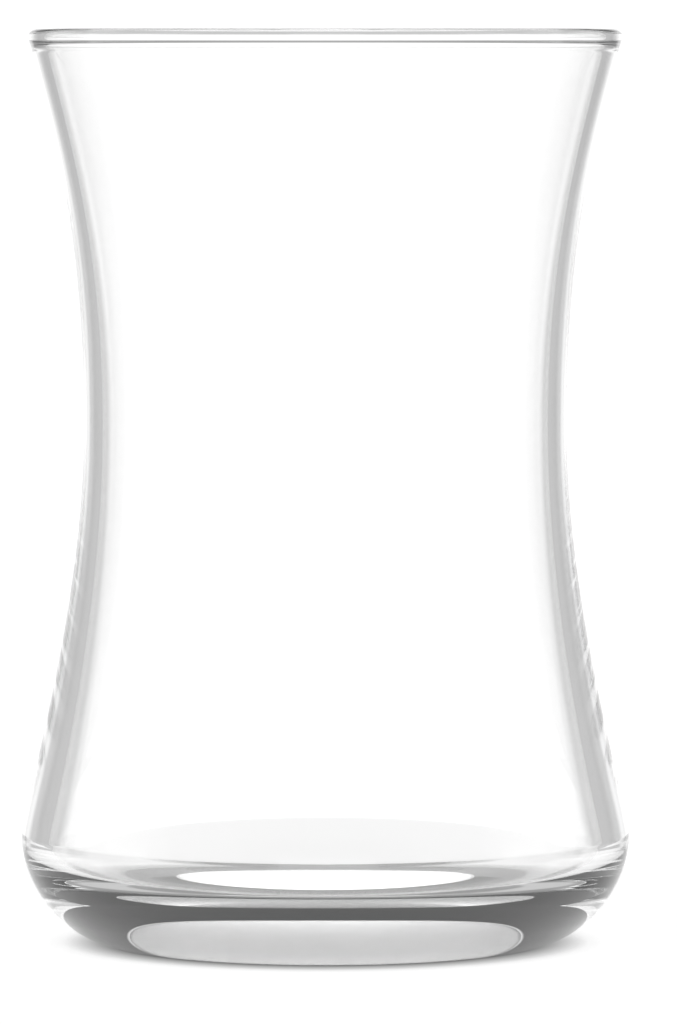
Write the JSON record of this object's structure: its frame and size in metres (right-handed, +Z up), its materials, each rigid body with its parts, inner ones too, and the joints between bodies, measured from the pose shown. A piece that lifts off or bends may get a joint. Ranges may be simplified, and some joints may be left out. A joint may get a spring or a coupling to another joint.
{
  "type": "turkish tea glass",
  "caption": "Clear waisted tumbler for hot tea, with a flared rim, a rounded belly and a thick base, empty and open at the top.",
  "frame": {"origin": "centre of the foot, on the plane that the glass stands on", "axes": "+Z up the glass's axis towards the open rim; the shape is the same all round, so +X is any direction"},
  "size_m": [0.06, 0.06, 0.09],
  "materials": {
    "clear_glass": "polished"
  },
  "bodies": {
    "root": {"glass_body": "clear_glass"}
  },
  "joints": []
}
